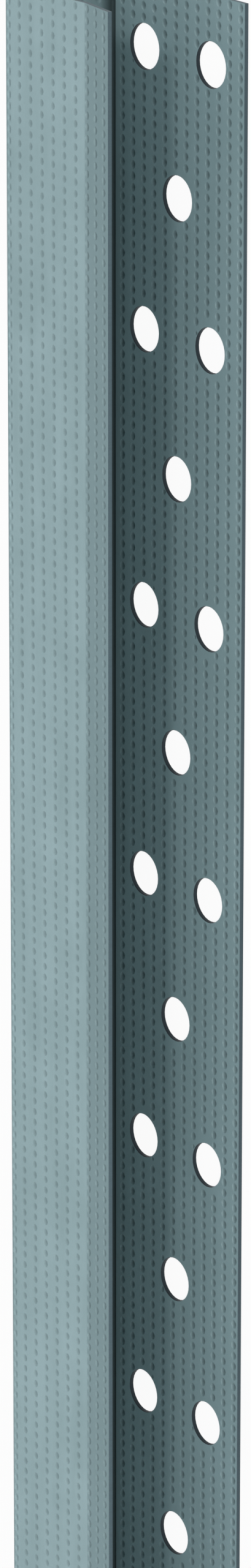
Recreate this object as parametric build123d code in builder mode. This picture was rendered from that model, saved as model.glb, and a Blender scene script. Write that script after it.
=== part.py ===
from build123d import *

import os
from math import cos, floor, radians, sin, tan

os.makedirs("parts", exist_ok=True)

# A drywall edge bead: one strip of thin galvanised steel, roll formed round the cut edge of a
# plasterboard. It lies on the outer face of its wide perforated flange, with the channel for
# the board open towards +X and its length along Y. The origin is on the floor, in the middle
# of the length and of the width. All sizes are in millimetres and degrees.

# The strip and its cut length.
bead_length = 2500.0
sheet = 0.45

# The wide flange, from its outer corner at the web to its free edge.
flange_width = 22.3

# The web, as high as the outer corner of the plain flange. It leans outwards.
web_height = 13.65
web_lean = 4.55

# The plain flange closes in on the board as far as a crease. From there its lip flares out
# again, which leads the board in.
grip_width = 13.2
grip_slope = 3.0
lip_width = 5.05
lip_flare = 9.6

# The bends: the corners by their inner radius, the crease by the radius of its hollow side.
corner_radius = 0.35
crease_radius = 1.0

# The punched holes. An outer and an inner column have their holes side by side, and those of
# the middle column come half a pitch later.
hole_diameter = 4.85
hole_pitch = 30.0
column_spacing = 5.55
edge_to_holes = 5.54
end_to_holes = 7.23

# Six pairs of holes, at both ends and the middle, are true circles for fixing and measuring.
# The others are cut with few straight sides, which keeps so long a strip light to handle.
plain_hole_sides = 12

# The corners of the outer face, from the wide flange's free edge round to the lip's edge.
reach = web_height * tan(radians(web_lean))
free_x = (flange_width + reach) / 2
corner_x = free_x - flange_width
top_x = corner_x - reach
crease_x = top_x + grip_width * cos(radians(grip_slope))
crease_z = web_height - grip_width * sin(radians(grip_slope))
lip_x = crease_x + lip_width * cos(radians(lip_flare))
lip_z = crease_z + lip_width * sin(radians(lip_flare))

# The rows of holes that fit in the length, with a hole's width kept free at the far end.
first_y = bead_length / 2 - end_to_holes
usable_length = bead_length - end_to_holes - hole_diameter
pair_count = floor(usable_length / hole_pitch) + 1
middle_count = floor((usable_length - hole_pitch / 2) / hole_pitch) + 1

outer_x = free_x - edge_to_holes
middle_x = outer_x - column_spacing
inner_x = middle_x - column_spacing

half_way = pair_count // 2
fixing_rows = (0, 1, half_way, half_way + 1, pair_count - 2, pair_count - 1)
fixing_holes = []
plain_holes = []
for row in range(pair_count):
    y = first_y - row * hole_pitch
    holes = fixing_holes if row in fixing_rows else plain_holes
    holes += [(outer_x, y), (inner_x, y)]
for row in range(middle_count):
    plain_holes.append((middle_x, first_y - (row + 0.5) * hole_pitch))

# The flat of the wide flange begins where its bend ends.
outer_radius = corner_radius + sheet
flat_x = corner_x + outer_radius * tan(radians(90 - web_lean) / 2)
flat_width = free_x - flat_x

with BuildSketch() as punched_holes:
    with Locations(fixing_holes):
        Circle(hole_diameter / 2)
    with Locations(plain_holes):
        RegularPolygon(hole_diameter / 2, plain_hole_sides)

with BuildPart() as edge_bead:
    # The wide flange is punched while it is flat.
    with BuildSketch():
        with Locations((flat_x + flat_width / 2, 0)):
            Rectangle(flat_width, bead_length)
        add(punched_holes.sketch, mode=Mode.SUBTRACT, clean=False)
    extrude(amount=sheet, clean=False)

    # The rest is the bent section: its outer line is thickened inwards and drawn out along Y.
    with BuildSketch(Plane.XZ.offset(-bead_length / 2)):
        with BuildLine():
            FilletPolyline(
                (free_x, 0),
                (corner_x, 0),
                (top_x, web_height),
                (crease_x, crease_z),
                (lip_x, lip_z),
                radius=(outer_radius, outer_radius, crease_radius),
            )
            offset(amount=sheet, side=Side.RIGHT)
        make_face()
        with Locations((flat_x + flat_width / 2, sheet / 2)):
            Rectangle(flat_width, sheet, mode=Mode.SUBTRACT)
    extrude(amount=bead_length, clean=False)

edge_bead.part.label = "edge_bead"
export_step(edge_bead.part, "parts/edge_bead.step")

box = edge_bead.part.bounding_box()
print("round holes", len(fixing_holes), "other holes", len(plain_holes))
print("size", box.size, "from", box.min, "to", box.max)
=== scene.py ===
# %% [markdown]
# # A drywall edge bead
#
# The object is one strip of thin galvanised steel that a row of rollers has embossed, punched and
# bent into a channel. Its wide flange has three staggered columns of round holes, and its other
# flange grips the cut edge of a plasterboard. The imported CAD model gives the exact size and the
# bends. Blender adds what the eye reads as roll formed zinc: thousands of small pressed marks,
# rounded and punched edges, and the dull blue-grey of the coating.
#
# ## The frame
#
# The CAD model is loaded first. Everything after it is in metres, in the same frame: the length
# runs along Y, the channel opens towards +X, and the bead lies on the floor at Z = 0.

from math import cos, pi, radians, sin, tan

import bmesh
import bpy
from mathutils import Matrix, Vector
from mathutils.geometry import tessellate_polygon


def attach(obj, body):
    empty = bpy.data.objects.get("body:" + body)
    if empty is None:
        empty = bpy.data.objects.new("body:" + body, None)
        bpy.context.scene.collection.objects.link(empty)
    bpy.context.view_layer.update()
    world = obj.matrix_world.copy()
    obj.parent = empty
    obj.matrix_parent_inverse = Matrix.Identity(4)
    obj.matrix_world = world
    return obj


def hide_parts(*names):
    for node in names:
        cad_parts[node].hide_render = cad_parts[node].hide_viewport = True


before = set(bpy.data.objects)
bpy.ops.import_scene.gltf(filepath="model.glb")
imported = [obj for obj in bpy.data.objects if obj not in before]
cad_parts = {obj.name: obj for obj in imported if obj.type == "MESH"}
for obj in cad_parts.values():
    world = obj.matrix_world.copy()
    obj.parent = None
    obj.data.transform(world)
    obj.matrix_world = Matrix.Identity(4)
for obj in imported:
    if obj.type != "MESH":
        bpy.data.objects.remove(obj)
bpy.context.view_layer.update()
NODE = "edge_bead"

# %% [markdown]
# ## The section
#
# A bent sheet is easiest to describe as a flat strip that is folded. These are the sizes that the
# CAD model has too, in metres: straight legs between corners, and a radius for each bend. One
# function walks along the strip and returns its points for the outer face, or for any depth in
# the sheet. The same walk measures how far across the unrolled strip each point lies, which the
# pressed marks need, because the rollers pressed them while the strip was still flat.

# %% Name the sizes
MM = 0.001
BEAD_LENGTH = 2500 * MM
SHEET = 0.45 * MM
FLANGE_WIDTH = 22.3 * MM
WEB_HEIGHT, WEB_LEAN = 13.65 * MM, radians(4.55)
GRIP_WIDTH, GRIP_SLOPE = 13.2 * MM, radians(3.0)
LIP_WIDTH, LIP_FLARE = 5.05 * MM, radians(9.6)
CORNER_RADIUS = 0.35 * MM + SHEET
CREASE_RADIUS = 1.0 * MM
EDGE_ROUND = 0.05 * MM

reach = WEB_HEIGHT * tan(WEB_LEAN)
FREE_X = (FLANGE_WIDTH + reach) / 2
corners = [Vector((FREE_X, 0)), Vector((FREE_X - FLANGE_WIDTH, 0))]
corners.append(Vector((corners[1].x - reach, WEB_HEIGHT)))
corners.append(corners[2] + GRIP_WIDTH * Vector((cos(GRIP_SLOPE), -sin(GRIP_SLOPE))))
corners.append(corners[3] + LIP_WIDTH * Vector((cos(LIP_FLARE), sin(LIP_FLARE))))
BENDS = ((CORNER_RADIUS, 10), (CORNER_RADIUS, 10), (CREASE_RADIUS, 4))
print("section corners in mm:", [(round(c.x * 1000, 2), round(c.y * 1000, 2)) for c in corners])

# %% Walk along the bent strip
def bent_line(depth):
    """Points (x, z) at a depth in the sheet, how far across the strip each is, and its width."""
    points, across, gone, here = [], [], 0.0, corners[0]
    for number, (radius, steps) in enumerate(BENDS, start=1):
        ahead = (corners[number] - corners[number - 1]).normalized()
        after = (corners[number + 1] - corners[number]).normalized()
        turn = ahead.x * after.y - ahead.y * after.x
        side = 1 if turn > 0 else -1
        angle = ahead.angle(after)
        start = corners[number] - ahead * radius * tan(angle / 2)
        left = Vector((-ahead.y, ahead.x)) * side
        centre = start + left * radius
        gone += (start - here).length
        for step in range(steps + 1):
            spoke = Matrix.Rotation(side * angle * step / steps, 2) @ -left
            points.append(centre + spoke * (radius + side * depth))
            across.append(gone + (radius + side * SHEET / 2) * angle * step / steps)
        gone = across[-1]
        here = corners[number] + after * radius * tan(angle / 2)
    return points, across, gone + (corners[-1] - here).length


outer_bends, bend_across, STRIP_WIDTH = bent_line(0)
inner_bends = bent_line(SHEET)[0]
print(f"unrolled strip: {STRIP_WIDTH * 1000:.2f} mm wide")

# %% [markdown]
# ## The holes and the pressed marks
#
# Three columns of holes repeat every 30 mm, and the pressed marks repeat 74 times in 90 mm.
# So 90 mm of bead is one unit that repeats exactly: it is built once and laid end to end. The
# last unit is cut off after 70 mm.
#
# The marks are pressed from both sides, half a column apart. Those on the faces that are seen
# most are real dents in the mesh. The rest are a bump in the material, because another 80,000
# dents would weigh more than they show.

# %% Name the pattern
HOLE_RADIUS = 4.85 * MM / 2
HOLE_PITCH = 30 * MM
END_TO_HOLES = 7.23 * MM
COLUMN_SPACING = 5.55 * MM
OUTER_HOLES_X = FREE_X - 5.54 * MM
HOLE_ROLL_OVER = 0.04 * MM
HOLE_SIDES = 32

UNIT_LENGTH = 90 * MM
UNIT_HOLES, UNIT_ROWS = 3, 74
MARK_PITCH_Y = UNIT_LENGTH / UNIT_ROWS
MARK_PITCH_X = 1.791 * MM
FIRST_MARK_Y = 0.45 * MARK_PITCH_Y
FIRST_MARK_X = -8.717 * MM
MARK_WIDTH, MARK_LENGTH = 0.84 * MM, 1.02 * MM
MARK_SIDES = 8

# How deep the marks of each face are, and how large, as a share of the largest.
DEEP_MARK = 0.27 * MM
FLANGE_MARKS, GRIP_MARKS, LIP_MARKS = (DEEP_MARK, 1.0), (0.085 * MM, 0.86), (0.20 * MM, 0.90)

# A mark keeps clear of the holes. It shrinks to do so, and goes where it would be too small.
MARK_CLEARANCE = 0.03 * MM
SMALLEST_MARK = 0.4

whole_units = int(BEAD_LENGTH / UNIT_LENGTH)
TAIL_LENGTH = BEAD_LENGTH - whole_units * UNIT_LENGTH
TAIL_HOLES = 2
TAIL_ROWS = int((TAIL_LENGTH - FIRST_MARK_Y - MARK_LENGTH / 2) / MARK_PITCH_Y) + 1
print(whole_units, "whole units, tail of", round(TAIL_LENGTH * 1000, 1), "mm,", TAIL_ROWS, "rows")

# %% [markdown]
# ## Finishes
#
# Galvanised steel isn't a mirror. The zinc is a soft metal that scatters light widely, faintly
# mottled where it froze and streaked along the strip where the rollers dragged it. A metallic
# Principled shader with a high roughness gives that, with its colour and roughness varied a
# little by noise that is stretched along Y. Painted shade darkens the bottoms of the pressed
# marks and the root of the web, and takes some of their shine. An attribute of the mesh, "dent",
# carries that painted shade for both. It is 1 at the bottom of the deepest marks. Where the strip
# was sheared or punched, bare steel shows, darker and rougher, with painted shade on the walls of
# the holes that makes them darkest, and a little on the free edge.

# %% Helpers for node trees
def add_node(tree, kind, links=(), **settings):
    """A new node. Its links are pairs of an input's name or number and a value or an output."""
    made = tree.nodes.new(kind)
    for name, value in settings.items():
        setattr(made, name, value)
    for socket, value in dict(links).items():
        if isinstance(value, bpy.types.NodeSocket):
            tree.links.new(value, made.inputs[socket])
        else:
            made.inputs[socket].default_value = value
    return made


def maths(tree, operation, *values):
    """The output of a Math node on these values or outputs."""
    return add_node(tree, "ShaderNodeMath", enumerate(values), operation=operation).outputs[0]


# %% Name the colours
ZINC_LIGHT, ZINC_DARK = (0.33, 0.455, 0.475), (0.285, 0.40, 0.415)
# The second colour is painted shade for the walls of the holes.
STEEL, PAINTED_BORE_COLOUR = (0.085, 0.13, 0.15), (0.01, 0.016, 0.022)

# How soon painted shade darkens a dent or the root of the web, what is left of the colour where
# it is darkest, and how much of that the real marks and the faces with a bump get.
PAINTED_SHADE_POWER, PAINTED_SHADE_COLOUR = 0.45, 0.15
FRONT_SHADE, BACK_SHADE = 0.6, 1.0
# How far the walls of the holes are painted towards that shade.
BORE_SHADE = 0.85


# %% Mottle and streaks that every zinc face shares
def zinc_colour_and_shade(tree, light, dark, mark_shade):
    """Blue-grey that varies with place, with painted shade where "dent" is set: colour, darkness,
    mottle, place.
    """
    place = add_node(tree, "ShaderNodeTexCoord").outputs["Object"]
    stretched = add_node(tree, "ShaderNodeMapping", {"Vector": place, "Scale": (1, 0.12, 1)})
    streaks = add_node(tree, "ShaderNodeTexNoise", {
        "Vector": stretched.outputs[0], "Scale": 420.0, "Detail": 3.0, "Roughness": 0.55})
    mottle = add_node(tree, "ShaderNodeTexNoise", {
        "Vector": place, "Scale": 130.0, "Detail": 4.0, "Roughness": 0.6})
    mixed = maths(tree, "MULTIPLY_ADD", streaks.outputs[0], 0.5,
                  maths(tree, "MULTIPLY", mottle.outputs[0], 0.5))
    spread = add_node(tree, "ShaderNodeMapRange", {
        "Value": mixed, "From Min": 0.36, "From Max": 0.64})
    colour = add_node(tree, "ShaderNodeMix", {
        0: spread.outputs[0], 6: (*dark, 1), 7: (*light, 1)}, data_type="RGBA")
    # Painted shade: where "dent" is set, the colour darkens towards a dark blue-grey.
    dent = add_node(tree, "ShaderNodeAttribute", attribute_name="dent")
    darkness = maths(tree, "MULTIPLY", maths(tree, "POWER", dent.outputs["Fac"], PAINTED_SHADE_POWER),
                     mark_shade)
    shaded = add_node(tree, "ShaderNodeMix", {
        0: darkness, 6: colour.outputs[2], 7: (*(PAINTED_SHADE_COLOUR * v for v in dark), 1)},
        data_type="RGBA")
    return shaded.outputs[2], darkness, spread.outputs[0], place


def pressed_height(tree, place):
    """0 on the flat and -1 at the bottom of the marks that are a bump, from a point's place."""
    across = add_node(tree, "ShaderNodeAttribute", attribute_name="across").outputs["Fac"]
    y = add_node(tree, "ShaderNodeSeparateXYZ", {0: place}).outputs["Y"]
    column = maths(tree, "DIVIDE", maths(tree, "SUBTRACT", across, FREE_X - FIRST_MARK_X),
                   MARK_PITCH_X)
    row = maths(tree, "DIVIDE", maths(tree, "SUBTRACT", BEAD_LENGTH / 2 - FIRST_MARK_Y, y),
                MARK_PITCH_Y)
    squares = []
    for count, pitch, size in (
            (column, MARK_PITCH_X, MARK_WIDTH), (row, MARK_PITCH_Y, MARK_LENGTH)):
        off = maths(tree, "SUBTRACT", count, maths(tree, "ROUND", count))
        off = maths(tree, "MULTIPLY", off, pitch / (size / 2))
        squares.append(maths(tree, "MULTIPLY", off, off))
    distance = maths(tree, "SQRT", maths(tree, "ADD", *squares))
    return add_node(tree, "ShaderNodeMapRange", {
        "Value": distance, "From Min": 0.0, "From Max": 1.0, "To Min": -1.0, "To Max": 0.0},
        interpolation_type="SMOOTHSTEP").outputs[0]


# %% Make the zinc and the cut steel
def zinc_material(name, pressed):
    """The zinc finish. Where pressed is True, the marks are a bump, which fades in the painted
    shade at the root of the web.
    """
    material = bpy.data.materials.new(name)
    material.use_nodes = True
    tree = material.node_tree
    shader = tree.nodes["Principled BSDF"]
    colour, darkness, spread, place = zinc_colour_and_shade(
        tree, ZINC_LIGHT, ZINC_DARK, BACK_SHADE if pressed else FRONT_SHADE)
    rough = add_node(tree, "ShaderNodeMapRange", {
        "Value": spread, "To Min": 0.50, "To Max": 0.42}).outputs[0]
    grain = add_node(tree, "ShaderNodeTexNoise", {"Vector": place, "Scale": 2600.0, "Detail": 2.0})
    bump = add_node(tree, "ShaderNodeBump", {
        "Strength": 0.35, "Distance": 0.01 * MM, "Height": grain.outputs[0]})
    if pressed:
        dent = add_node(tree, "ShaderNodeAttribute", attribute_name="dent").outputs["Fac"]
        bump = add_node(tree, "ShaderNodeBump", {
            "Strength": maths(tree, "SUBTRACT", 1.0, maths(tree, "MINIMUM", dent, 1.0)),
            "Distance": GRIP_MARKS[0], "Height": pressed_height(tree, place),
            "Normal": bump.outputs[0]})
    shader.inputs["Metallic"].default_value = 0.3
    # Painted shade also takes some of the shine where "dent" darkens the colour.
    level = maths(tree, "MULTIPLY_ADD", darkness, -0.5, 0.5)
    tree.links.new(level, shader.inputs["Specular IOR Level"])
    tree.links.new(colour, shader.inputs["Base Color"])
    tree.links.new(rough, shader.inputs["Roughness"])
    tree.links.new(bump.outputs[0], shader.inputs["Normal"])
    return material


def cut_material(name):
    """Sheared steel: dark, rough, with fine scratches through the thickness of the sheet, and
    painted shade where "bore" is set.
    """
    material = bpy.data.materials.new(name)
    material.use_nodes = True
    tree = material.node_tree
    shader = tree.nodes["Principled BSDF"]
    place = add_node(tree, "ShaderNodeTexCoord").outputs["Object"]
    upright = add_node(tree, "ShaderNodeMapping", {"Vector": place, "Scale": (1, 1, 0.1)})
    tear = add_node(tree, "ShaderNodeTexNoise", {
        "Vector": upright.outputs[0], "Scale": 5000.0, "Detail": 3.0})
    colour = add_node(tree, "ShaderNodeMix", {
        0: tear.outputs[0], 6: (*(0.8 * v for v in STEEL), 1), 7: (*(1.2 * v for v in STEEL), 1)},
        data_type="RGBA")
    # Painted shade on the walls of the holes and, less, on the free edge.
    bore = add_node(tree, "ShaderNodeAttribute", attribute_name="bore").outputs["Fac"]
    colour = add_node(tree, "ShaderNodeMix", {
        0: maths(tree, "MULTIPLY", bore, BORE_SHADE), 6: colour.outputs[2],
        7: (*PAINTED_BORE_COLOUR, 1)}, data_type="RGBA")
    rough = add_node(tree, "ShaderNodeMapRange", {
        "Value": tear.outputs[0], "To Min": 0.48, "To Max": 0.68}).outputs[0]
    bump = add_node(tree, "ShaderNodeBump", {
        "Strength": 0.5, "Distance": 0.01 * MM, "Height": tear.outputs[0]})
    shader.inputs["Metallic"].default_value = 0.55
    tree.links.new(colour.outputs[2], shader.inputs["Base Color"])
    tree.links.new(rough, shader.inputs["Roughness"])
    tree.links.new(bump.outputs[0], shader.inputs["Normal"])
    return material


zinc_front = zinc_material("galvanised_front", pressed=False)
zinc_back = zinc_material("galvanised_back", pressed=True)
cut_steel = cut_material("cut_steel")
print("materials:", [m.name for m in (zinc_front, zinc_back, cut_steel)])

# %% [markdown]
# ## One embossed panel
#
# A dented, perforated sheet could be made by cutting holes and dents out of a plate with
# booleans, which is slow and leaves ragged faces. Geometry Nodes offer a cleaner way: lay out
# the panel's outline, its hole circles and the rims of the dents as curves, and let Fill Curve
# find the flat mesh between them. The dents themselves are small bowls with the same rims, so
# they close their openings exactly. A dent that would run into a hole shrinks, and one that
# lies in a hole is left out, as on the real strip.

# %% Start a node group
def new_group(name, inputs):
    """A Geometry Nodes group with these named inputs: name, kind of socket."""
    tree = bpy.data.node_groups.new(name, "GeometryNodeTree")
    for label, kind in inputs:
        tree.interface.new_socket(label, in_out="INPUT", socket_type="NodeSocket" + kind)
    tree.interface.new_socket("Geometry", in_out="OUTPUT", socket_type="NodeSocketGeometry")
    given = tree.nodes.new("NodeGroupInput").outputs
    return tree, given, tree.nodes.new("NodeGroupOutput").inputs[0]


def join(tree, *parts):
    """The Join Geometry output for these outputs."""
    joined = tree.nodes.new("GeometryNodeJoinGeometry")
    for part in parts:
        tree.links.new(part, joined.inputs[0])
    return joined.outputs[0]


def moved(tree, geometry, translation, rotation=(0, 0, 0)):
    """The geometry after a Transform Geometry node."""
    return add_node(tree, "GeometryNodeTransform", {
        "Geometry": geometry, "Translation": translation, "Rotation": rotation}).outputs[0]


def xyz(tree, x, y, z):
    """A vector output from three values or outputs."""
    return add_node(tree, "ShaderNodeCombineXYZ", enumerate((x, y, z))).outputs[0]


def outlines(tree, points, sides, radius, scale=(1, 1, 1)):
    """Closed curves with this many sides, one round each of the points."""
    circle = add_node(tree, "GeometryNodeMeshCircle", {"Vertices": sides, "Radius": radius})
    curve = add_node(tree, "GeometryNodeMeshToCurve", {0: circle.outputs[0]})
    laid = add_node(tree, "GeometryNodeInstanceOnPoints", {
        "Points": points, "Instance": curve.outputs[0], "Scale": scale})
    return add_node(tree, "GeometryNodeRealizeInstances", {0: laid.outputs[0]}).outputs[0]


def panel_outline(tree, width, length):
    """A rectangle curve from (0, 0) to (width, -length)."""
    frame_curve = add_node(tree, "GeometryNodeCurvePrimitiveQuadrilateral", {
        "Width": width, "Height": length}).outputs[0]
    return moved(tree, frame_curve, xyz(
        tree, maths(tree, "MULTIPLY", width, 0.5), maths(tree, "MULTIPLY", length, -0.5), 0.0))


def with_across(tree, geometry, start, step):
    """Stores how far across the unrolled strip each point of a flat panel lies."""
    position = tree.nodes.new("GeometryNodeInputPosition").outputs[0]
    x = add_node(tree, "ShaderNodeSeparateXYZ", {0: position}).outputs["X"]
    across = maths(tree, "MULTIPLY_ADD", x, step, start)
    return add_node(tree, "GeometryNodeStoreNamedAttribute", {
        "Geometry": geometry, "Name": "across", "Value": across},
        data_type="FLOAT", domain="POINT").outputs[0]


# %% Build the panel group
panel_group, given, panel_out = new_group("embossed_panel", [
    ("Holes", "Geometry"), ("Hole Radius", "Float"), ("Width", "Float"), ("Length", "Float"),
    ("Columns", "Int"), ("First Column", "Float"), ("Rows", "Int"), ("Depth", "Float"),
    ("Size", "Float"), ("Across Start", "Float"), ("Across Step", "Float")])
tree = panel_group
span_x = maths(tree, "MULTIPLY", maths(tree, "SUBTRACT", given["Columns"], 1.0), MARK_PITCH_X)
span_y = maths(tree, "MULTIPLY", maths(tree, "SUBTRACT", given["Rows"], 1.0), MARK_PITCH_Y)
grid = add_node(tree, "GeometryNodeMeshGrid", {
    "Size X": span_x, "Size Y": span_y,
    "Vertices X": given["Columns"], "Vertices Y": given["Rows"]})
marks_at = moved(tree, grid.outputs[0], xyz(
    tree,
    maths(tree, "MULTIPLY_ADD", span_x, 0.5, given["First Column"]),
    maths(tree, "SUBTRACT", maths(tree, "MULTIPLY", span_y, -0.5), FIRST_MARK_Y), 0.0))
marks_at = add_node(tree, "GeometryNodeMeshToPoints", {0: marks_at}).outputs[0]

# The room between a mark and the nearest hole, as a share of what the mark needs.
near = add_node(tree, "GeometryNodeProximity", {0: given["Holes"]}, target_element="POINTS")
position = tree.nodes.new("GeometryNodeInputPosition").outputs[0]
to_hole = add_node(tree, "ShaderNodeVectorMath", {0: near.outputs["Position"], 1: position},
                   operation="SUBTRACT").outputs[0]
unit = add_node(tree, "ShaderNodeVectorMath", {0: to_hole}, operation="NORMALIZE").outputs[0]
stretched = add_node(tree, "ShaderNodeVectorMath", {
    0: unit, 1: (MARK_WIDTH / 2, MARK_LENGTH / 2, 0)}, operation="MULTIPLY").outputs[0]
needed = add_node(tree, "ShaderNodeVectorMath", {0: stretched}, operation="LENGTH").outputs["Value"]
free = maths(tree, "SUBTRACT", near.outputs["Distance"], given["Hole Radius"])
free = maths(tree, "SUBTRACT", free, MARK_CLEARANCE)
share = maths(tree, "MINIMUM", maths(tree, "DIVIDE", free, needed), 1.0)
share = add_node(tree, "GeometryNodeSwitch", {
    "Switch": near.outputs["Is Valid"], "False": 1.0, "True": share}, input_type="FLOAT").outputs[0]
too_near = add_node(tree, "FunctionNodeCompare", {
    "A": share, "B": SMALLEST_MARK}, operation="LESS_THAN")
marks_at = add_node(tree, "GeometryNodeDeleteGeometry", {
    "Geometry": marks_at, "Selection": too_near.outputs[0]}, domain="POINT").outputs[0]
sized = maths(tree, "MULTIPLY", share, given["Size"])
mark_scale = xyz(tree, maths(tree, "MULTIPLY", sized, MARK_WIDTH),
                 maths(tree, "MULTIPLY", sized, MARK_LENGTH),
                 maths(tree, "MULTIPLY", share, given["Depth"]))

# The flat mesh between the outline, the holes and the rims.
rims = outlines(tree, marks_at, MARK_SIDES, 0.5, mark_scale)
holes = outlines(tree, given["Holes"], HOLE_SIDES, given["Hole Radius"])
flat = add_node(tree, "GeometryNodeFillCurve", {
    "Curve": join(tree, panel_outline(tree, given["Width"], given["Length"]), rims, holes)})
flat = add_node(tree, "GeometryNodeSetShadeSmooth", {
    "Geometry": flat.outputs[0], "Shade Smooth": False}).outputs[0]

# The bowls: a fan of triangles whose middle is pressed down.
fan = add_node(tree, "GeometryNodeMeshCircle", {"Vertices": MARK_SIDES, "Radius": 0.5},
               fill_type="TRIANGLE_FAN").outputs[0]
from_middle = add_node(tree, "ShaderNodeVectorMath", {
    0: tree.nodes.new("GeometryNodeInputPosition").outputs[0]}, operation="LENGTH").outputs["Value"]
middle = add_node(tree, "FunctionNodeCompare", {"A": from_middle, "B": 0.1}, operation="LESS_THAN")
# The middle of each bowl stores "dent", which paints shade into the mark.
fan = add_node(tree, "GeometryNodeStoreNamedAttribute", {
    "Geometry": fan, "Selection": middle.outputs[0], "Name": "dent",
    "Value": maths(tree, "DIVIDE", given["Depth"], DEEP_MARK)},
    data_type="FLOAT", domain="POINT").outputs[0]
fan = add_node(tree, "GeometryNodeSetPosition", {
    "Geometry": fan, "Selection": middle.outputs[0], "Offset": (0, 0, -1)}).outputs[0]
bowls = add_node(tree, "GeometryNodeInstanceOnPoints", {
    "Points": marks_at, "Instance": fan, "Scale": mark_scale}).outputs[0]
bowls = add_node(tree, "GeometryNodeRealizeInstances", {0: bowls}).outputs[0]
bowls = add_node(tree, "GeometryNodeSetShadeSmooth", {
    "Geometry": bowls, "Shade Smooth": True}).outputs[0]

# The rims stay crisp, so that a bowl isn't shaded as if the flat sheet sagged into it.
panel = join(tree, flat, bowls)
beside = tree.nodes.new("GeometryNodeInputMeshEdgeNeighbors").outputs[0]
rim = add_node(tree, "FunctionNodeCompare", {2: beside, 3: 1}, data_type="INT", operation="EQUAL")
panel = add_node(tree, "GeometryNodeSetShadeSmooth", {
    "Geometry": panel, "Selection": rim.outputs[0], "Shade Smooth": False},
    domain="EDGE").outputs[0]
panel = with_across(tree, panel, given["Across Start"], given["Across Step"])
tree.links.new(panel, panel_out)
print("embossed_panel:", len(tree.nodes), "nodes")

# %% [markdown]
# ## One unit, laid end to end
#
# A unit needs the dented inner face of the wide flange, its plain outer face with the same
# holes, the walls of the holes, and the dented outer faces of the grip and the lip. The walls
# store how far across they lie too, because their rims merge with the outer face's. A punch
# drags the sheet down with it as it goes in, so a hole's wall begins with a small rounded
# shoulder: the rings of a cylinder are moved together towards the top, and the top ring outwards.
# The tree ends by laying the units along Y, joining them to the plain strips that arrive as the
# modifier's input, and merging the edges that they share.

# %% Build the unit group
FRONT, BACK, CUT = 0, 1, 2
MERGE_DISTANCE = 0.002 * MM
unit_group, given, unit_out = new_group("bead_units", [
    ("Geometry", "Geometry"), ("Start", "Float"), ("Units", "Int"), ("Unit Length", "Float"),
    ("Rows", "Int"), ("Holes Per Column", "Int"),
    ("Front", "Material"), ("Back", "Material"), ("Cut", "Material")])
tree = unit_group
HOLE_COLUMNS = ((OUTER_HOLES_X, 0.0), (OUTER_HOLES_X - 2 * COLUMN_SPACING, 0.0),
                (OUTER_HOLES_X - COLUMN_SPACING, 0.5))


def hole_points(tree, left_x):
    """The centres of a unit's holes, with X measured from the panel's left edge."""
    lines = [add_node(tree, "GeometryNodeMeshLine", {
        "Count": given["Holes Per Column"],
        "Start Location": (x - left_x, -END_TO_HOLES - shift * HOLE_PITCH, 0),
        "Offset": (0, -HOLE_PITCH, 0)}).outputs[0] for x, shift in HOLE_COLUMNS]
    return add_node(tree, "GeometryNodeMeshToPoints", {0: join(tree, *lines)}).outputs[0]


def use_panel(tree, holes, hole_radius, width, columns, first_column, mark, across_start,
              across_step):
    """An embossed panel, flat, with its top left corner at the origin."""
    used = add_node(tree, "GeometryNodeGroup", node_tree=panel_group)
    values = {"Hole Radius": hole_radius, "Width": width, "Length": given["Unit Length"],
              "Columns": columns, "First Column": first_column, "Rows": given["Rows"],
              "Depth": mark[0], "Size": mark[1],
              "Across Start": across_start, "Across Step": across_step}
    for name, value in values.items():
        if isinstance(value, bpy.types.NodeSocket):
            tree.links.new(value, used.inputs[name])
        else:
            used.inputs[name].default_value = value
    if holes:
        tree.links.new(holes, used.inputs["Holes"])
    return used.outputs[0]


def with_finish(tree, geometry, finish):
    """Stores which finish the faces have: FRONT, BACK or CUT."""
    return add_node(tree, "GeometryNodeStoreNamedAttribute", {
        "Geometry": geometry, "Name": "finish", "Value": finish},
        data_type="INT", domain="FACE").outputs[0]


# The wide flange: from the end of its bend to the rounded free edge.
FLANGE_LEFT = inner_bends[0].x
FLANGE_PANEL = FREE_X - EDGE_ROUND - FLANGE_LEFT
FLANGE_COLUMNS = 12
BACK_ACROSS = FREE_X - FLANGE_LEFT - MARK_PITCH_X / 2
centres = hole_points(tree, FLANGE_LEFT)
inner_face = use_panel(
    tree, centres, HOLE_RADIUS + HOLE_ROLL_OVER, FLANGE_PANEL, FLANGE_COLUMNS,
    FIRST_MARK_X - FLANGE_LEFT, FLANGE_MARKS, FREE_X - FLANGE_LEFT, -1.0)
inner_face = moved(tree, with_finish(tree, inner_face, FRONT), (FLANGE_LEFT, 0, SHEET))

outer_face = add_node(tree, "GeometryNodeFillCurve", {"Curve": join(
    tree, panel_outline(tree, FLANGE_PANEL, given["Unit Length"]),
    outlines(tree, centres, HOLE_SIDES, HOLE_RADIUS))}).outputs[0]
outer_face = add_node(tree, "GeometryNodeFlipFaces", {0: outer_face}).outputs[0]
outer_face = with_across(tree, outer_face, BACK_ACROSS, -1.0)
outer_face = add_node(tree, "GeometryNodeSetShadeSmooth", {
    "Geometry": outer_face, "Shade Smooth": False}).outputs[0]
outer_face = moved(tree, with_finish(tree, outer_face, BACK), (FLANGE_LEFT, 0, 0))

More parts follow.
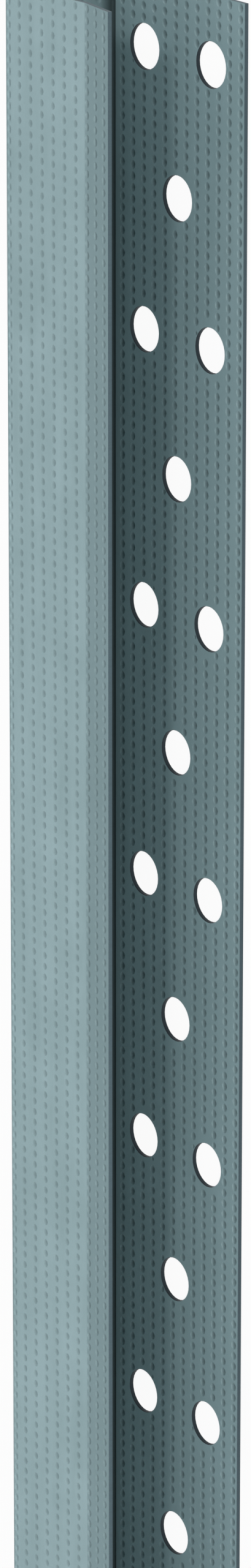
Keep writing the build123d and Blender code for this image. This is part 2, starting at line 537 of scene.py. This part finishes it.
# The walls of the holes. The attribute "bore" marks them for painted shade, which makes them darker
# than edges.
wall = add_node(tree, "GeometryNodeMeshCylinder", {
    "Vertices": HOLE_SIDES, "Side Segments": 3, "Radius": HOLE_RADIUS, "Depth": SHEET},
    fill_type="NONE").outputs[0]
place = add_node(tree, "ShaderNodeSeparateXYZ", {
    0: tree.nodes.new("GeometryNodeInputPosition").outputs[0]})
height = maths(tree, "ADD", maths(tree, "DIVIDE", place.outputs["Z"], SHEET), 0.5)
drop = maths(tree, "SUBTRACT", 1.0, height)
new_z = maths(tree, "SUBTRACT", 1.0, maths(tree, "MULTIPLY", drop, drop))
new_z = maths(tree, "MULTIPLY", new_z, SHEET)
wider = maths(tree, "MULTIPLY_ADD", maths(tree, "POWER", maths(tree, "MAXIMUM", height, 0.0), 4.0),
              HOLE_ROLL_OVER / HOLE_RADIUS, 1.0)
wall = add_node(tree, "GeometryNodeSetPosition", {"Geometry": wall, "Position": xyz(
    tree, maths(tree, "MULTIPLY", place.outputs["X"], wider),
    maths(tree, "MULTIPLY", place.outputs["Y"], wider), new_z)}).outputs[0]
wall = add_node(tree, "GeometryNodeFlipFaces", {0: wall}).outputs[0]
wall = add_node(tree, "GeometryNodeSetShadeSmooth", {
    "Geometry": wall, "Shade Smooth": True}).outputs[0]
wall = add_node(tree, "GeometryNodeStoreNamedAttribute", {
    "Geometry": wall, "Name": "bore", "Value": 1.0}, data_type="FLOAT", domain="FACE").outputs[0]
walls = add_node(tree, "GeometryNodeInstanceOnPoints", {
    "Points": centres, "Instance": with_finish(tree, wall, CUT)}).outputs[0]
walls = add_node(tree, "GeometryNodeRealizeInstances", {0: walls}).outputs[0]
walls = moved(tree, with_across(tree, walls, BACK_ACROSS, -1.0), (FLANGE_LEFT, 0, 0))
print("wide flange panel:", round(FLANGE_PANEL * 1000, 3), "mm wide")

# %% [markdown]
# The first column of marks on the grip lies on the bend's end, so its strip stays plain there
# and the bump shows those marks. The dented panel starts just after it.

# %% Add the grip and the lip
BEND_ENDS = (BENDS[0][1], BENDS[0][1] + 1 + BENDS[1][1])
GRIP_LEAD = 0.47 * MM
GRIP_COLUMNS, LIP_COLUMNS = 6, 3
FIRST_GRIP_MARK, FIRST_LIP_MARK = 1.776 * MM, 0.40 * MM
grip_way = Vector((cos(GRIP_SLOPE), -sin(GRIP_SLOPE)))
lip_way = Vector((cos(LIP_FLARE), sin(LIP_FLARE)))
grip_start = outer_bends[BEND_ENDS[1]] + grip_way * GRIP_LEAD
grip_end = outer_bends[BEND_ENDS[1] + 1]
lip_start = outer_bends[-1]
lip_end = corners[-1] - lip_way * EDGE_ROUND
GRIP_ACROSS = bend_across[BEND_ENDS[1]] + GRIP_LEAD

grip_face = use_panel(
    tree, None, 0.0, (grip_end - grip_start).length, GRIP_COLUMNS,
    FIRST_GRIP_MARK - GRIP_LEAD, GRIP_MARKS, GRIP_ACROSS - MARK_PITCH_X / 2, 1.0)
grip_face = moved(tree, with_finish(tree, grip_face, FRONT),
                  (grip_start.x, 0, grip_start.y), (0, GRIP_SLOPE, 0))
lip_face = use_panel(
    tree, None, 0.0, (lip_end - lip_start).length, LIP_COLUMNS,
    FIRST_LIP_MARK, LIP_MARKS, bend_across[-1] - MARK_PITCH_X / 2, 1.0)
lip_face = moved(tree, with_finish(tree, lip_face, FRONT),
                 (lip_start.x, 0, lip_start.y), (0, -LIP_FLARE, 0))

unit = join(tree, inner_face, outer_face, walls, grip_face, lip_face)
row_of_units = add_node(tree, "GeometryNodeMeshLine", {
    "Count": given["Units"], "Start Location": xyz(tree, 0.0, given["Start"], 0.0),
    "Offset": xyz(tree, 0.0, maths(tree, "MULTIPLY", given["Unit Length"], -1.0), 0.0)})
laid = add_node(tree, "GeometryNodeInstanceOnPoints", {
    "Points": row_of_units.outputs[0], "Instance": unit}).outputs[0]
whole = join(tree, given["Geometry"],
             add_node(tree, "GeometryNodeRealizeInstances", {0: laid}).outputs[0])
whole = add_node(tree, "GeometryNodeMergeByDistance", {
    "Geometry": whole, "Distance": MERGE_DISTANCE}).outputs[0]
whole = add_node(tree, "GeometryNodeRealizeInstances", {0: whole}).outputs[0]
finish = add_node(tree, "GeometryNodeInputNamedAttribute", {"Name": "finish"},
                  data_type="INT").outputs[0]
for number, name in enumerate(("Front", "Back", "Cut")):
    chosen = add_node(tree, "FunctionNodeCompare", {2: finish, 3: number},
                      data_type="INT", operation="EQUAL").outputs[0]
    whole = add_node(tree, "GeometryNodeSetMaterial", {
        "Geometry": whole, "Selection": chosen, "Material": given[name]}).outputs[0]
tree.links.new(whole, unit_out)
print("bead_units:", len(tree.nodes), "nodes")

# %% [markdown]
# ## The plain strips between the panels
#
# What is left of the section is simple: bends, web, backs and rounded edges. They are quads that
# run from one unit's boundary to the next, made from rings of points. A ring goes once round the
# section, and each of its steps says how it is finished, or that a panel takes its place. The
# first and last ring of a stretch are filled with triangles, which close its ends.

# %% Make a ring round the section
ROUND_STEPS = 3

# Painted shade darkens the root of the web, and thins out a little way up.
ROOT_SHADE, ROOT_SHADE_THIN = 0.95, 0.1
ROOT_SHADE_RISE = 1.3 * MM
web_root = inner_bends[1:BEND_ENDS[0] + 1]
web_way = (inner_bends[BEND_ENDS[0] + 1] - web_root[-1]).normalized()
root_shade_end = web_root[-1] + ROOT_SHADE_RISE * web_way
root_shade_at = {tuple(point): ROOT_SHADE for point in web_root}
root_shade_at[tuple(root_shade_end)] = ROOT_SHADE_THIN

# Painted shade on the free edge, which lies on the floor: it is this much like the wall of a hole,
# where 1 is as dark.
FREE_EDGE_SHADE = 0.3


def edge_round(tip, way, inward):
    """Points round a cut edge, from the outer face to the inner one."""
    points = []
    for centre_depth, first in ((EDGE_ROUND, -inward), (SHEET - EDGE_ROUND, way)):
        second = way if first != way else inward
        centre = tip - way * EDGE_ROUND + inward * centre_depth
        for step in range(ROUND_STEPS + 1):
            angle = pi / 2 * step / ROUND_STEPS
            points.append(centre + EDGE_ROUND * (first * cos(angle) + second * sin(angle)))
    return points


def ring_round_section():
    """The ring: (point, across, what covers the step to the next point). None is a panel."""
    free_way, free_in = Vector((1, 0)), Vector((0, 1))
    lip_in = Vector((lip_way.y, -lip_way.x))
    free_edge = edge_round(corners[0], free_way, free_in)
    lip_edge = edge_round(corners[-1], lip_way, lip_in)
    half = MARK_PITCH_X / 2
    grip_first = BEND_ENDS[1]
    ring = [(free_edge[0], -half, None)]
    for number, (point, across) in enumerate(zip(outer_bends, bend_across)):
        ring.append((point, across - half, BACK))
        if number == grip_first:
            ring.append((grip_start, across + GRIP_LEAD - half, None))
    ring[-1] = (ring[-1][0], ring[-1][1], None)
    ring += [(point, STRIP_WIDTH, CUT) for point in lip_edge[:-1]]
    ring.append((lip_edge[-1], STRIP_WIDTH, BACK))
    inner = list(zip(inner_bends, bend_across))
    for number, (point, across) in enumerate(reversed(inner)):
        if number == len(inner) - BEND_ENDS[0] - 1:
            ring.append((root_shade_end, across + ROOT_SHADE_RISE, BACK))
        ring.append((point, across, None if number == len(inner) - 1 else BACK))
    ring += [(point, 0.0, CUT) for point in reversed(free_edge[1:])]
    return ring


ring = ring_round_section()
print(len(ring), "points round the section,", sum(step[2] is None for step in ring), "panels")

# %% Make the strips of one stretch
def plain_strips(name, stations):
    """A mesh of the steps that no panel covers, closed at both ends, with its attributes."""
    mesh, shape = bpy.data.meshes.new(name), bmesh.new()
    across = shape.verts.layers.float.new("across")
    dent = shape.verts.layers.float.new("dent")
    finish = shape.faces.layers.int.new("finish")
    bore = shape.faces.layers.float.new("bore")
    rows = []
    for y in stations:
        row = [shape.verts.new((point.x, y, point.y)) for point, _, _ in ring]
        for vert, (point, value, _) in zip(row, ring):
            # Painted shade at the root of the web goes into "dent".
            vert[across], vert[dent] = value, root_shade_at.get(tuple(point), 0.0)
        rows.append(row)
    for near_row, far_row in zip(rows, rows[1:]):
        for step, (_, _, kind) in enumerate(ring):
            if kind is not None:
                after = (step + 1) % len(ring)
                face = shape.faces.new(
                    (near_row[step], far_row[step], far_row[after], near_row[after]))
                face[finish], face.smooth = kind, True
                # Painted shade on the free edge, which lies on the floor.
                if kind == CUT and max(vert.co.z for vert in face.verts) <= SHEET:
                    face[bore] = FREE_EDGE_SHADE
    cap = tessellate_polygon([[Vector((point.x, 0, point.y)) for point, _, _ in ring]])
    for row, way in ((rows[0], 1), (rows[-1], -1)):
        for triangle in cap:
            face = shape.faces.new([row[number] for number in triangle][::way])
            face[finish] = CUT
    shape.to_mesh(mesh)
    shape.free()
    return mesh


# %% [markdown]
# ## The stretches
#
# Nearly 800,000 triangles in one mesh would be thinned when the part is exported. The bead's
# nearly 800,000 triangles are kept in five stretches that meet on the boundaries of units: four
# of 540 mm, and the rest. Each gets the unit group as a modifier. The last stretch gets it
# twice, for its whole units and for the shorter tail. Reading the evaluated object back gives a
# plain mesh, and the modifiers go.

# %% Build the stretches
UNITS_A_STRETCH = 6


def add_units(bead, start, units, unit_length, rows, holes_per_column):
    """Adds the unit group to a stretch, with its inputs."""
    modifier = bead.modifiers.new("units", "NODES")
    modifier.node_group = unit_group
    values = {"Start": start, "Units": units, "Unit Length": unit_length, "Rows": rows,
              "Holes Per Column": holes_per_column, "Front": zinc_front, "Back": zinc_back,
              "Cut": cut_steel}
    sockets = {s.name: s.identifier for s in unit_group.interface.items_tree if s.in_out == "INPUT"}
    for name, value in values.items():
        modifier[sockets[name]] = value


def build_stretch(name, first_unit, units, with_tail):
    """One closed stretch of the bead, as a plain mesh object at the origin."""
    start = BEAD_LENGTH / 2 - first_unit * UNIT_LENGTH
    stations = [start - number * UNIT_LENGTH for number in range(units + 1)]
    if with_tail:
        stations.append(-BEAD_LENGTH / 2)
    bead = bpy.data.objects.new(name, plain_strips(name, stations))
    bpy.context.scene.collection.objects.link(bead)
    for material in (zinc_front, zinc_back, cut_steel):
        bead.data.materials.append(material)
    add_units(bead, start, units, UNIT_LENGTH, UNIT_ROWS, UNIT_HOLES)
    if with_tail:
        add_units(bead, stations[-2], 1, TAIL_LENGTH, TAIL_ROWS, TAIL_HOLES)
    bpy.context.view_layer.update()
    evaluated = bead.evaluated_get(bpy.context.evaluated_depsgraph_get())
    mesh = bpy.data.meshes.new_from_object(evaluated)
    bead.modifiers.clear()
    old, bead.data = bead.data, mesh
    bpy.data.meshes.remove(old)
    mesh.name = name
    return bead


stretches = []
first = 0
while first < whole_units:
    units = min(UNITS_A_STRETCH, whole_units - first)
    last = first + units == whole_units
    stretches.append(build_stretch(f"bead_stretch_{len(stretches) + 1}", first, units, last))
    first += units


# %% Measure the stretches
def measure(bead):
    """Prints a stretch's triangles, open edges and volume."""
    shape = bmesh.new()
    shape.from_mesh(bead.data)
    triangles = sum(len(face.verts) - 2 for face in shape.faces)
    loose = sum(len(edge.link_faces) != 2 for edge in shape.edges)
    turned = sum(len(e.link_loops) == 2 and e.link_loops[0].vert == e.link_loops[1].vert
                 for e in shape.edges)
    print(bead.name, triangles, "triangles,", loose, "open edges,", turned, "turned edges,",
          f"{shape.calc_volume(signed=True) * 1e9:.1f} mm3")
    shape.free()
    return triangles


print("triangles in all:", sum(measure(bead) for bead in stretches))

# %% Hand the stretches over to the frame
for bead in stretches:
    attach(bead, "root")
    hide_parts(NODE)

# %% [markdown]
# ## The stage
#
# The bead lies on a white studio floor. The floor and the world are white where the camera, or
# a reflection, looks at them, so that the picture has a plain white ground. The floor keeps some
# of the bead's shadow, so that the bead lies on something.

# %% Make the floor
FLOOR_HALF = 4.0
FLOOR_GAP = 0.02 * MM
FLOOR_PAINT, FLOOR_GLOW = 0.7, 0.94
floor_mesh = bpy.data.meshes.new("floor")
floor_mesh.from_pydata([(x * FLOOR_HALF, y * FLOOR_HALF, -FLOOR_GAP)
                        for x, y in ((-1, -1), (1, -1), (1, 1), (-1, 1))], [], [(0, 1, 2, 3)])
floor = bpy.data.objects.new("floor", floor_mesh)
bpy.context.scene.collection.objects.link(floor)


def seen_directly(tree):
    """1 where a camera, glossy or transmission ray looks, else 0."""
    path = tree.nodes.new("ShaderNodeLightPath").outputs
    seen = maths(tree, "MAXIMUM", path["Is Camera Ray"], path["Is Glossy Ray"])
    return maths(tree, "MAXIMUM", seen, path["Is Transmission Ray"])


floor_material = bpy.data.materials.new("white_floor")
floor_material.use_nodes = True
tree = floor_material.node_tree
paint = tree.nodes["Principled BSDF"]
paint.inputs["Base Color"].default_value = (FLOOR_PAINT, FLOOR_PAINT, FLOOR_PAINT, 1)
paint.inputs["Roughness"].default_value = 0.9
glow = add_node(tree, "ShaderNodeEmission", {"Color": (1, 1, 1, 1), "Strength": 1.0})
mix = add_node(tree, "ShaderNodeMixShader", {
    0: maths(tree, "MULTIPLY", seen_directly(tree), FLOOR_GLOW),
    1: paint.outputs[0], 2: glow.outputs[0]})
tree.links.new(mix.outputs[0], tree.nodes["Material Output"].inputs["Surface"])
floor_mesh.materials.append(floor_material)
print("floor:", 2 * FLOOR_HALF, "m wide")

# %% [markdown]
# The light is a plain studio: a soft sky from everywhere, and three lamps. The key lamp stands
# high up, towards the open side and the near end, and throws the grip's shadow across the wide
# flange. A faint lamp behind the bead picks out the marks. A broad one low on the open side
# fills the channel. A black card stands behind the bead, out of the camera's sight, and takes
# the sky's light off the faces that lean that way.

# %% Name the lamps and the card
SKY_COLOUR, SKY_STRENGTH = (0.93, 0.97, 1.0), 0.88
# Each lamp's name, the way to it, its strength, and how wide it looks from the bead.
LAMPS = (("key_lamp", Vector((0.41, 0.46, 0.79)), 0.53, radians(7)),
         ("back_lamp", Vector((-0.62, -0.28, 0.73)), 0.08, radians(20)),
         ("fill_lamp", Vector((0.62, -0.72, 0.32)), 0.27, radians(50)))
CARD_X, CARD_HALF, CARD_HEIGHT = -1.2, 3.0, 1.1

# %% Light the scene
world = bpy.data.worlds.new("studio")
bpy.context.scene.world = world
world.use_nodes = True
tree = world.node_tree
sky = tree.nodes["Background"]
sky.inputs["Color"].default_value = (*SKY_COLOUR, 1)
sky.inputs["Strength"].default_value = SKY_STRENGTH
white = add_node(tree, "ShaderNodeBackground", {"Color": (1, 1, 1, 1), "Strength": 1.0})
mix = add_node(tree, "ShaderNodeMixShader", {
    0: seen_directly(tree), 1: sky.outputs[0], 2: white.outputs[0]})
tree.links.new(mix.outputs[0], tree.nodes["World Output"].inputs["Surface"])


def add_lamp(name, way, strength, spread):
    """A distant lamp that shines from the direction way."""
    lamp = bpy.data.lights.new(name, "SUN")
    lamp.energy, lamp.angle = strength, spread
    holder = bpy.data.objects.new(name, lamp)
    holder.rotation_mode = "QUATERNION"
    holder.rotation_quaternion = way.to_track_quat("Z", "Y")
    bpy.context.scene.collection.objects.link(holder)
    print(name, "shines from", [round(v, 3) for v in way.normalized()])


for lamp in LAMPS:
    add_lamp(*lamp)

# %% Stand the black card behind the bead
black_cloth = bpy.data.materials.new("black_cloth")
black_cloth.use_nodes = True
cloth = black_cloth.node_tree.nodes["Principled BSDF"]
cloth.inputs["Base Color"].default_value = (0.01, 0.01, 0.01, 1)
cloth.inputs["Roughness"].default_value = 1.0

card_mesh = bpy.data.meshes.new("black_card")
card_mesh.from_pydata([(CARD_X, y * CARD_HALF, z * CARD_HEIGHT)
                       for y, z in ((-1, 0), (1, 0), (1, 1), (-1, 1))], [], [(0, 1, 2, 3)])
card_mesh.materials.append(black_cloth)
card = bpy.data.objects.new("black_card", card_mesh)
bpy.context.scene.collection.objects.link(card)
card.visible_camera = False

# %% [markdown]
# ## The camera
#
# The photograph looks down on the bead's near end from above the open side, through a long
# lens. Its place and turn were found by fitting the rows of marks and the holes, whose real
# spacing is known.

# %% Place the camera
LENS, SENSOR = 160.3, 36.0
eye = Vector((0.5559, 1.3963, 0.4291))
looking = Vector((-0.7559, -0.3140, -0.5744)).normalized()
up = Vector((-0.2500, 0.9494, -0.1899))
right = looking.cross(up).normalized()
up = right.cross(looking)

camera_data = bpy.data.cameras.new("camera")
camera_data.lens, camera_data.sensor_width = LENS, SENSOR
camera_data.clip_start, camera_data.clip_end = 0.01, 100.0
camera = bpy.data.objects.new("camera", camera_data)
turn = Matrix((right, up, -looking)).transposed().to_4x4()
camera.matrix_world = Matrix.Translation(eye) @ turn
bpy.context.scene.collection.objects.link(camera)
bpy.context.scene.camera = camera
bpy.context.scene.view_settings.view_transform = "Standard"
print("camera at", [round(v, 3) for v in eye])
